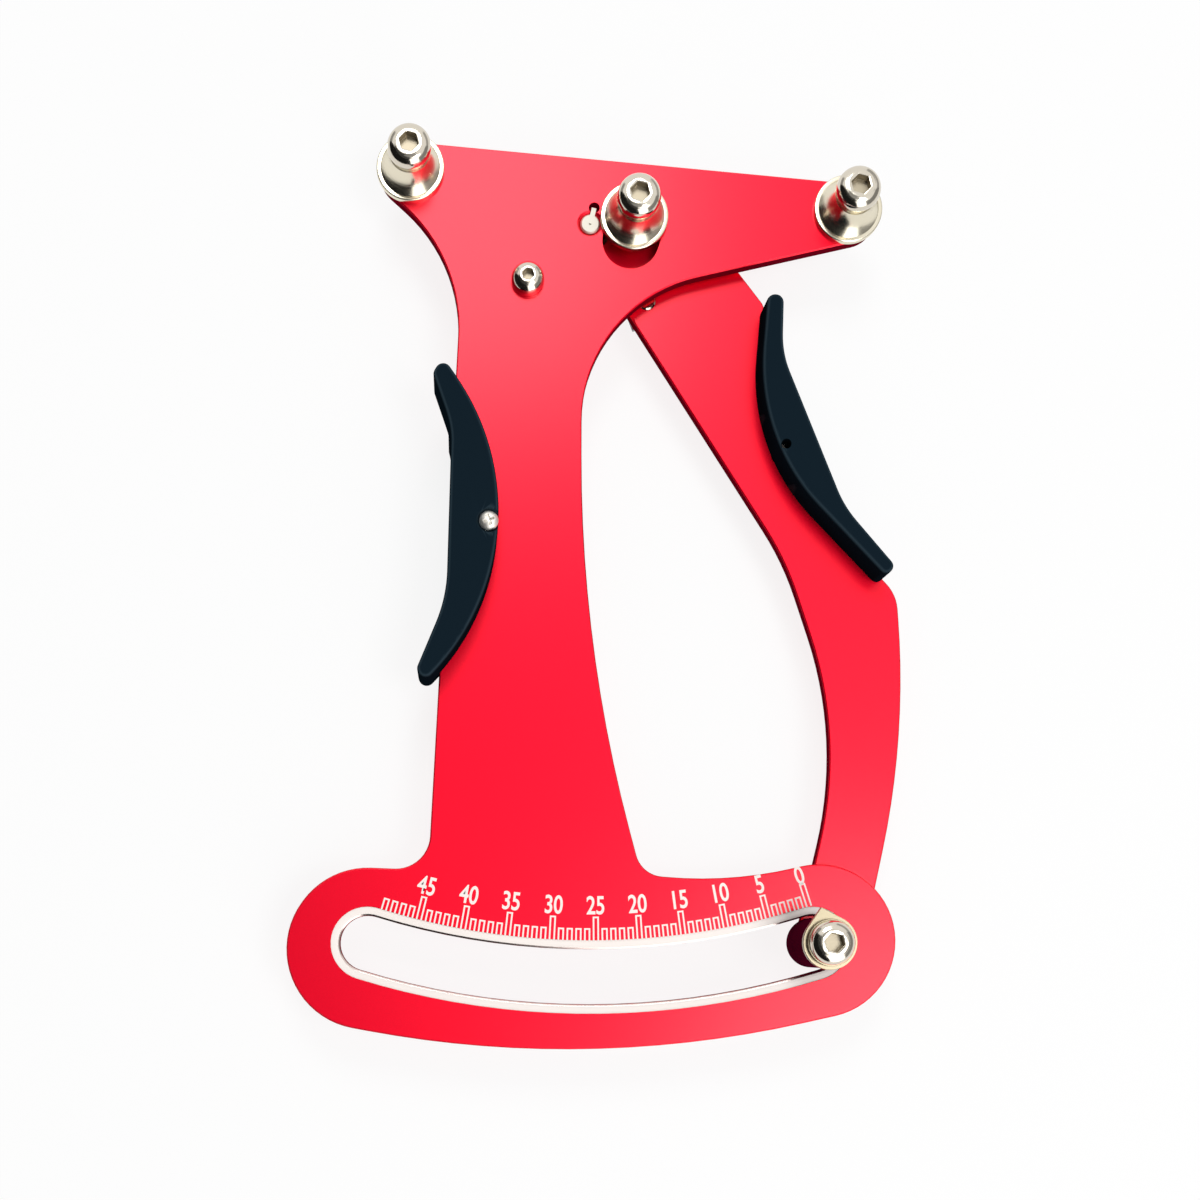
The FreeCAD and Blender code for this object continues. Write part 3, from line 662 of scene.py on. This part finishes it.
def button_screw(name, body, size, under, socket, edge):
    """Button-head screw with a hexagon socket, at the place of a solid."""
    head, shaft, depth = size
    low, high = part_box(name)
    centre = middle(name)
    reach = socket / math.sqrt(3)

    def in_socket(face):
        place = face.calc_center_median()
        return -depth - edge < place.z - high.z < -edge and (place - centre).xy.length < reach

    screw = lathe(head_profile(head, under, high.z, shaft, low.z, socket * HEAD_RING), centre)
    drill_hexagon(screw, centre, socket, high.z - depth, high.z + 1 * MM, SOCKET_TURN)
    soften(screw, edge, 50)
    stands_for(screw, name, body, FINISHES["plated"])
    second_finish(screw, FINISHES["broached"], in_socket)


class METER_OT_posts(bpy.types.Operator):
    """Turns the three post sleeves and their screws"""
    bl_idname = "meter.posts"
    bl_label = "Posts"

    def execute(self, context):
        hardware = context.scene.meter_hardware
        low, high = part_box("left_post_sleeve")
        mid_low, mid_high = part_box("middle_post_sleeve")
        flange_radius = (high.x - low.x) / 2
        base = mid_high.z - (high.z - low.z)
        place = middle("left_post_sleeve")
        left = lathe(sleeve_profile(hardware, low.z, high.z, flange_radius), place)
        smooth(left, 35)
        right = moved_copy(left, middle("right_post_sleeve") - place)
        centre = lathe(sleeve_profile(hardware, base, mid_high.z, flange_radius, mid_low.z),
                       middle("middle_post_sleeve"))
        smooth(centre, 35)
        posts = (("left", "frame", left, high.z), ("right", "frame", right, high.z),
                 ("middle", "lever", centre, mid_high.z))
        for side, body, sleeve, top in posts:
            stands_for(sleeve, side + "_post_sleeve", body, FINISHES["turned"])
        for side, body, sleeve, top in posts:
            button_screw(side + "_post_screw", body, M6, top, hardware.m6_socket, hardware.soft_edge)
        return {"FINISHED"}


class METER_OT_anchor(bpy.types.Operator):
    """Turns the spring's anchor screw"""
    bl_idname = "meter.anchor"
    bl_label = "Anchor screw"

    def execute(self, context):
        hardware = context.scene.meter_hardware
        button_screw("anchor_screw", "frame", M4, FACE, hardware.m4_socket, hardware.soft_edge)
        return {"FINISHED"}


class METER_OT_pointer(bpy.types.Operator):
    """Turns the pointer's screw, spacer and washers"""
    bl_idname = "meter.pointer"
    bl_label = "Pointer"

    def execute(self, context):
        hardware = context.scene.meter_hardware
        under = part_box("pointer_lock_washer")[1].z
        button_screw("pointer_screw", "lever", M6, under, hardware.m6_socket, hardware.soft_edge)
        for name in ("pointer_spacer", "pointer_washer", "pointer_lock_washer"):
            smoothed(name, "lever", TURNED_EDGE)
        return {"FINISHED"}


# ----------------------------------------------------------------------- dial

SCALE_RADIUS = 175.8 * MM
SLOT_HALF_ANGLE = 17.2
RIM_OUTER = 8.57 * MM          # rim's outer edge from the slot's middle line
RIM_DEPTH = 0.25 * MM
SLOPE_FALL = 0.16 * MM         # how far the shallow slope drops
BEVEL_STEEPNESS = 0.7          # the bevel's drop by its width
BEVEL_WALL = 0.94 * MM         # from the bevel's top down the slot's wall
UNITS = 50
UNITS_PER_NUMERAL = 5
NUMERAL_NARROWING = 0.74
NUMERAL_WEIGHT = 0.1 * MM
ZERO_DROP = 0.6 * MM           # the zero stands lower, on its line


def carry_round(centre, degrees, steps):
    """Carries the selected profile anticlockwise round an upright axis."""
    bpy.ops.mesh.spin(steps=steps, angle=-math.radians(degrees), center=centre, axis=(0, 0, 1))


def slot_rim(dial):
    """Bare metal round the slot: a recessed flat and the bevel inside it."""
    outer = SCALE_RADIUS + RIM_OUTER
    level = FACE - RIM_DEPTH + FILM
    flat = dial.rim_flat
    clear_selection()
    bpy.ops.mesh.primitive_plane_add(size=flat, location=(
        PIVOT.x + flat / 2, PIVOT.y - outer + flat / 2, level))
    rim = bpy.context.object
    settle(rim)
    edit(rim)
    choose(rim, lambda place: place.x > PIVOT.x + flat / 2)
    bpy.ops.mesh.delete(type="VERT")
    choose(rim, lambda place: place.y > PIVOT.y - outer + flat / 2)
    fall = BEVEL_STEEPNESS * dial.rim_bevel
    steps = ((dial.rim_slope, -SLOPE_FALL), (dial.rim_bevel, -fall), (0, fall - BEVEL_WALL))
    for inwards, down in steps:
        bpy.ops.mesh.extrude_region_move(TRANSFORM_OT_translate={"value": (0, inwards, down)})
    bpy.ops.mesh.select_all(action="SELECT")
    turn = math.radians(SLOT_HALF_ANGLE)
    ends = [Vector((PIVOT.x + side * SCALE_RADIUS * math.sin(turn),
                    PIVOT.y - SCALE_RADIUS * math.cos(turn), 0)) for side in (1, -1)]
    carry_round(PIVOT, SLOT_HALF_ANGLE, 24)
    carry_round(ends[0], 180, 32)
    carry_round(PIVOT, -2 * SLOT_HALF_ANGLE, 48)
    carry_round(ends[1], 180, 32)
    carry_round(PIVOT, SLOT_HALF_ANGLE, 24)
    close_seams(rim)
    smooth(rim)
    on_body(rim, "slot_rim", "frame", FINISHES["mark"])
    second_finish(rim, FINISHES["bevel"], lambda face: 0.5 < abs(face.normal.z) < 0.9)
    # The slot's wall takes the red finish, with its painted shade on walls.
    second_finish(rim, FINISHES["red"], lambda face: abs(face.normal.z) < 0.5)


def scale_line(dial, top):
    """One scale line below the pivot: a tall outline, open at its foot."""
    height = dial.line_foot - top
    clear_selection()
    bpy.ops.mesh.primitive_plane_add(size=1, location=(0, -top - height / 2 - dial.line_stroke / 2, 0))
    line = bpy.context.object
    line.scale = (dial.line_width, height + dial.line_stroke, 1)
    settle(line)
    edit(line)
    bpy.ops.mesh.inset(thickness=dial.line_stroke, depth=0)
    bpy.ops.mesh.delete(type="FACE")
    bpy.ops.mesh.select_all(action="SELECT")
    bpy.ops.mesh.bisect(plane_co=(0, -dial.line_foot, 0), plane_no=(0, -1, 0), clear_outer=True)
    bpy.ops.object.mode_set(mode="OBJECT")
    return line


def numeral(dial, value):
    """One number of the scale, below the pivot."""
    clear_selection()
    radius = dial.numeral_radius if value else dial.numeral_radius + ZERO_DROP
    bpy.ops.object.text_add(location=(0, -radius, 0))
    text = bpy.context.object
    text.data.body = str(value)
    text.data.align_x = "CENTER"
    text.data.align_y = "CENTER"
    text.data.size = dial.numeral_size
    text.data.offset = NUMERAL_WEIGHT
    text.data.resolution_u = 6
    text.scale.x = NUMERAL_NARROWING
    pick(text)
    bpy.ops.object.convert(target="MESH")
    settle(text)
    return text


def swing(dial, piece, unit):
    """Hangs a mark from the pivot at its place on the scale."""
    piece.location = (PIVOT.x, PIVOT.y, FACE + FILM)
    piece.rotation_euler.z = dial.zero - unit * dial.unit - unit ** 2 * dial.growth
    return piece


def scale_lines(dial):
    """Fifty outlined scale lines, every fifth one long."""
    long_line = scale_line(dial, dial.long_top)
    short_line = scale_line(dial, dial.short_top)
    lines = []
    for unit in range(UNITS):
        pattern = short_line if unit % UNITS_PER_NUMERAL else long_line
        lines.append(swing(dial, copy_of(pattern), unit))
    drop(long_line, short_line)
    marks = join(lines)
    settle(marks)
    return on_body(marks, "scale_lines", "frame", FINISHES["mark"])


def scale_numerals(dial):
    """The numbers 0 to 45 over the long lines."""
    numbers = [swing(dial, numeral(dial, unit), unit) for unit in range(0, UNITS, UNITS_PER_NUMERAL)]
    marks = join(numbers)
    settle(marks)
    return on_body(marks, "scale_numerals", "frame", FINISHES["mark"])


class METER_OT_dial(bpy.types.Operator):
    """Adds the bare slot rim and the engraved scale"""
    bl_idname = "meter.dial"
    bl_label = "Dial"

    def execute(self, context):
        dial = context.scene.meter_dial
        slot_rim(dial)
        scale_lines(dial)
        scale_numerals(dial)
        return {"FINISHED"}


# --------------------------------------------------------------------- spring

WIRE_RADIUS = 0.65 * MM
COIL_RADIUS = 3.9 * MM
COIL_PITCH = 1.35 * MM
COIL_TURNS = 2
LEG_OVERHANG = 2.2 * MM
COIL_OVERLAP = 40              # degrees that the lever's half coil reaches past the middle
COIL_STEP = 7.5                # degrees between the coil's rings
COIL_FROM_LEVER = 0.8 * MM
INNER_WIRE = 0.99 * WIRE_RADIUS            # the lever's half, a hair thinner where the halves overlap
LEVER_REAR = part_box("lever_plate")[0].z
SPRING_PIN = (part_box("spring_pin"), 2.1 * MM, 1)
ANCHOR = (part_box("anchor_standoff"), 2.6 * MM, -1)


def leg(post):
    """Angle where a leg leaves the coil, and the leg's length past its post."""
    (low, high), groove, side = post
    way = Vector(((low.x + high.x) / 2 - PIVOT.x, (low.y + high.y) / 2 - PIVOT.y))
    apart = COIL_RADIUS + groove + WIRE_RADIUS
    turn = math.degrees(math.atan2(way.y, way.x) + side * math.acos(apart / way.length))
    return turn % 360, math.sqrt(way.length ** 2 - apart ** 2) + LEG_OVERHANG


def spring_half(way, turn, level, leg_length, turned, wire_radius):
    """A straight leg and half of the coil; way is 1 where the coil climbs from the leg."""
    slope = COIL_PITCH / (2 * math.pi * COIL_RADIUS)
    clear_selection()
    bpy.ops.mesh.primitive_circle_add(vertices=16, radius=wire_radius, fill_type="NOTHING",
                                      location=(COIL_RADIUS, 0, 0), rotation=(math.pi / 2, 0, 0))
    spring = bpy.context.object
    settle(spring)
    steps = round(turned / COIL_STEP)
    finish_with(spring, "SCREW", angle=math.radians(way * turned),
                screw_offset=way * COIL_PITCH * turned / 360, steps=steps, render_steps=steps)
    edit(spring)
    choose(spring, lambda place: abs(place.y) < 0.01 * MM and place.x > 0
           and abs(place.z) < 1.01 * wire_radius)
    way_out = Vector((0, -way, -way * slope)).normalized()
    bpy.ops.mesh.extrude_region_move(TRANSFORM_OT_translate={"value": way_out * leg_length})
    bpy.ops.mesh.edge_face_add()
    bpy.ops.mesh.select_all(action="SELECT")
    bpy.ops.mesh.normals_make_consistent(inside=False)
    bpy.ops.object.mode_set(mode="OBJECT")
    spring.location = (PIVOT.x, PIVOT.y, level)
    spring.rotation_euler.z = math.radians(turn)
    settle(spring)
    smooth(spring, 40)
    return spring


class METER_OT_spring(bpy.types.Operator):
    """Winds the torsion spring as two halves, one with each body"""
    bl_idname = "meter.spring"
    bl_label = "Spring"

    def execute(self, context):
        lever_turn, lever_leg = leg(SPRING_PIN)
        frame_turn, frame_leg = leg(ANCHOR)
        if frame_turn < lever_turn:
            frame_turn += 360
        frame_turn += 360 * COIL_TURNS
        wound = frame_turn - lever_turn
        front = LEVER_REAR - COIL_FROM_LEVER - WIRE_RADIUS
        rear = front - COIL_PITCH * wound / 360
        frame_half = spring_half(-1, frame_turn, front, frame_leg, wound / 2, WIRE_RADIUS)
        lever_half = spring_half(1, lever_turn, rear, lever_leg, wound / 2 + COIL_OVERLAP, INNER_WIRE)
        for piece, body in ((frame_half, "frame"), (lever_half, "lever")):
            on_body(piece, "spring_" + body + "_half", body, FINISHES["wire"])
            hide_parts("torsion_spring")
        return {"FINISHED"}


# ---------------------------------------------------------------------- stage

WHITE = (1.0, 1.0, 1.0, 1.0)
TABLE = (0.95, 0.95, 0.95, 1.0)
TABLE_SIZE = 6.0               # metres
TABLE_DROP = 0.2 * MM          # below the grips' rear faces
SHADOW_REACH = (0.16, 0.5)     # metres from the tool's middle over which the shadow fades out
LAMP_DISTANCE = 0.9
FLAG_DISTANCE = 1.2
TOOL_TOP = Vector((0.0, 0.08, 0.02))
TOOL_FOOT = Vector((0.06, -0.09, 0.02))
SOFTBOXES = (                  # direction, width and height in metres, watts, what it looks at
    ("softbox_back", (-0.05, 0.50, 0.86), 0.34, 0.34, 2.7, TOOL_TOP),
    ("softbox_over", (0.32, -0.13, 0.94), 0.34, 0.34, 2.5, TOOL_FOOT),
    ("softbox_front", (0.36, -0.81, 0.50), 0.60, 0.95, 2.4, TOOL_TOP),
)
FLAGS = (                      # start, end, low and high in degrees, tone
    ("flag_left", 148, 273, -3, 57, 0.012),
    ("flag_upper_left", 148, 272, 57, 80, 0.05),
    ("flag_right", 315, 380, -3, 40, 0.28),
    ("flag_back_right", 20, 62, -3, 28, 0.45),
    ("flag_back_left", 122, 148, -3, 30, 0.35),
    ("flag_over", 0, 360, 76, 90, 0.35),
)
EYE = Vector((-30.4, -168.6, 328.6)) * MM  # from the pivot, on the frame plate's face


def seen_by_eye(tree):
    """1 for what the camera sees itself, mirrored or through something, and 0 for light."""
    path = node(tree, "ShaderNodeLightPath")
    seen = node(tree, "ShaderNodeMath", {"operation": "MAXIMUM"},
                {0: path.outputs["Is Camera Ray"], 1: path.outputs["Is Glossy Ray"]})
    return node(tree, "ShaderNodeMath", {"operation": "MAXIMUM"},
                {0: seen.outputs[0], 1: path.outputs["Is Transmission Ray"]})


def lay_table(stage):
    """A wide white table: plain white where it is seen, but for a faint shadow near the tool."""
    clear_selection()
    bpy.ops.mesh.primitive_plane_add(size=TABLE_SIZE, location=(0, 0, -TABLE_DROP))
    floor = bpy.context.object
    floor.name = "floor"
    finish = bpy.data.materials.new("white_table")
    finish.use_nodes = True
    tree = finish.node_tree
    tree.nodes.clear()
    place = node(tree, "ShaderNodeTexCoord")
    distance = node(tree, "ShaderNodeVectorMath", {"operation": "LENGTH"}, {0: place.outputs["Object"]})
    plain = node(tree, "ShaderNodeMapRange",
                 {"From Min": SHADOW_REACH[0], "From Max": SHADOW_REACH[1], "To Min": 1 - stage.shadow},
                 {"Value": distance.outputs["Value"]})
    amount = node(tree, "ShaderNodeMath", {"operation": "MULTIPLY"},
                  {0: seen_by_eye(tree).outputs[0], 1: plain.outputs[0]})
    matt = node(tree, "ShaderNodeBsdfDiffuse", {"Color": TABLE})
    white = node(tree, "ShaderNodeEmission", {"Color": WHITE, "Strength": 1.0})
    mix = node(tree, "ShaderNodeMixShader", None,
               {0: amount.outputs[0], 1: matt.outputs[0], 2: white.outputs[0]})
    node(tree, "ShaderNodeOutputMaterial", None, {0: mix.outputs[0]})
    floor.data.materials.append(finish)


def light_the_room(scene, stage):
    """Even light from all sides, white where it is seen."""
    world = bpy.data.worlds.new("studio")
    scene.world = world
    world.use_nodes = True
    tree = world.node_tree
    tree.nodes.clear()
    even = node(tree, "ShaderNodeBackground", {"Color": WHITE, "Strength": stage.daylight})
    white = node(tree, "ShaderNodeBackground", {"Color": WHITE, "Strength": 1.0})
    mix = node(tree, "ShaderNodeMixShader", None,
               {0: seen_by_eye(tree).outputs[0], 1: even.outputs[0], 2: white.outputs[0]})
    node(tree, "ShaderNodeOutputWorld", None, {0: mix.outputs[0]})


def softbox(name, way, width, height, watts, target):
    """A soft area lamp that looks at a point from a direction."""
    lamp = bpy.data.lights.new(name, "AREA")
    lamp.shape = "RECTANGLE"
    lamp.size = width
    lamp.size_y = height
    lamp.energy = watts
    box = bpy.data.objects.new(name, lamp)
    bpy.context.scene.collection.objects.link(box)
    way = Vector(way).normalized()
    box.location = target + way * LAMP_DISTANCE
    box.rotation_euler = (-way).to_track_quat("-Z", "Y").to_euler()


def hang_flag(name, start, end, low, high, tone):
    """A dark card, part of a dome, that only reflections see: it gives metal its dark bands.

    It reaches from start to end, anticlockwise from the right, and from low to
    high over the table, in degrees.
    """
    rises = [math.radians(low + (high - low) * i / 8) for i in range(9)]
    profile = [(FLAG_DISTANCE * math.cos(rise), FLAG_DISTANCE * math.sin(rise)) for rise in rises]
    flag = lathe(profile, Vector(), 24, end - start)
    flag.name = name
    flag.location = TOOL_TOP
    flag.rotation_euler.z = math.radians(start)
    settle(flag)
    finish = bpy.data.materials.new(name)
    finish.use_nodes = True
    tree = finish.node_tree
    tree.nodes.clear()
    grey = node(tree, "ShaderNodeEmission", {"Color": (tone, tone, tone, 1), "Strength": 1.0})
    node(tree, "ShaderNodeOutputMaterial", None, {0: grey.outputs[0]})
    flag.data.materials.append(finish)
    flag.visible_camera = False
    flag.visible_diffuse = False
    flag.visible_shadow = False


def set_camera(scene):
    """Looks straight down from over the scale, with the view shifted to the tool."""
    cam = bpy.data.cameras.new("camera")
    cam.lens = 42.27
    cam.sensor_width = 36
    cam.shift_x = 0.1168
    cam.shift_y = 0.2885
    cam.clip_start = 0.01
    eye = bpy.data.objects.new("camera", cam)
    scene.collection.objects.link(eye)
    eye.location = Vector((PIVOT.x, PIVOT.y, FACE)) + EYE
    scene.camera = eye


class METER_OT_stage(bpy.types.Operator):
    """Sets the table, the light and the camera"""
    bl_idname = "meter.stage"
    bl_label = "Stage"

    def execute(self, context):
        scene = context.scene
        stage = scene.meter_stage
        scene.view_settings.view_transform = "Standard"
        lay_table(stage)
        light_the_room(scene, stage)
        for name, way, width, height, watts, target in SOFTBOXES:
            softbox(name, way, width, height, watts * stage.softbox, target)
        for card in FLAGS:
            hang_flag(*card)
        set_camera(scene)
        return {"FINISHED"}


# ---------------------------------------------------------------------- panel

class METER_PT_tools(bpy.types.Panel):
    """Steps and sizes of the tension meter"""
    bl_label = "Tension meter"
    bl_idname = "METER_PT_tools"
    bl_space_type = "VIEW_3D"
    bl_region_type = "UI"
    bl_category = "Tension meter"

    def draw(self, context):
        layout = self.layout
        for step in STEPS:
            layout.operator(step.bl_idname)
        for name, group in SETTINGS.items():
            box = layout.box()
            box.label(text=group.__doc__)
            for key in group.__annotations__:
                box.prop(getattr(context.scene, name), key)


SETTINGS = {"meter_colours": MeterColours, "meter_dial": MeterDial,
            "meter_hardware": MeterHardware, "meter_stage": MeterStage}
STEPS = (METER_OT_finishes, METER_OT_plates, METER_OT_grips, METER_OT_posts, METER_OT_anchor,
         METER_OT_pointer, METER_OT_dial, METER_OT_spring, METER_OT_stage)


def register():
    """Adds the settings, the steps and the panel."""
    for cls in (*SETTINGS.values(), *STEPS, METER_PT_tools):
        bpy.utils.register_class(cls)
    for name, group in SETTINGS.items():
        setattr(bpy.types.Scene, name, bpy.props.PointerProperty(type=group))


def unregister():
    """Takes them out again."""
    for name in SETTINGS:
        delattr(bpy.types.Scene, name)
    for cls in (METER_PT_tools, *reversed(STEPS), *reversed(SETTINGS.values())):
        bpy.utils.unregister_class(cls)


def main():
    """Runs every step in order."""
    register()
    bpy.ops.meter.finishes()
    bpy.ops.meter.plates()
    bpy.ops.meter.grips()
    bpy.ops.meter.posts()
    bpy.ops.meter.anchor()
    bpy.ops.meter.pointer()
    bpy.ops.meter.dial()
    bpy.ops.meter.spring()
    bpy.ops.meter.stage()


if __name__ == "__main__":
    main()
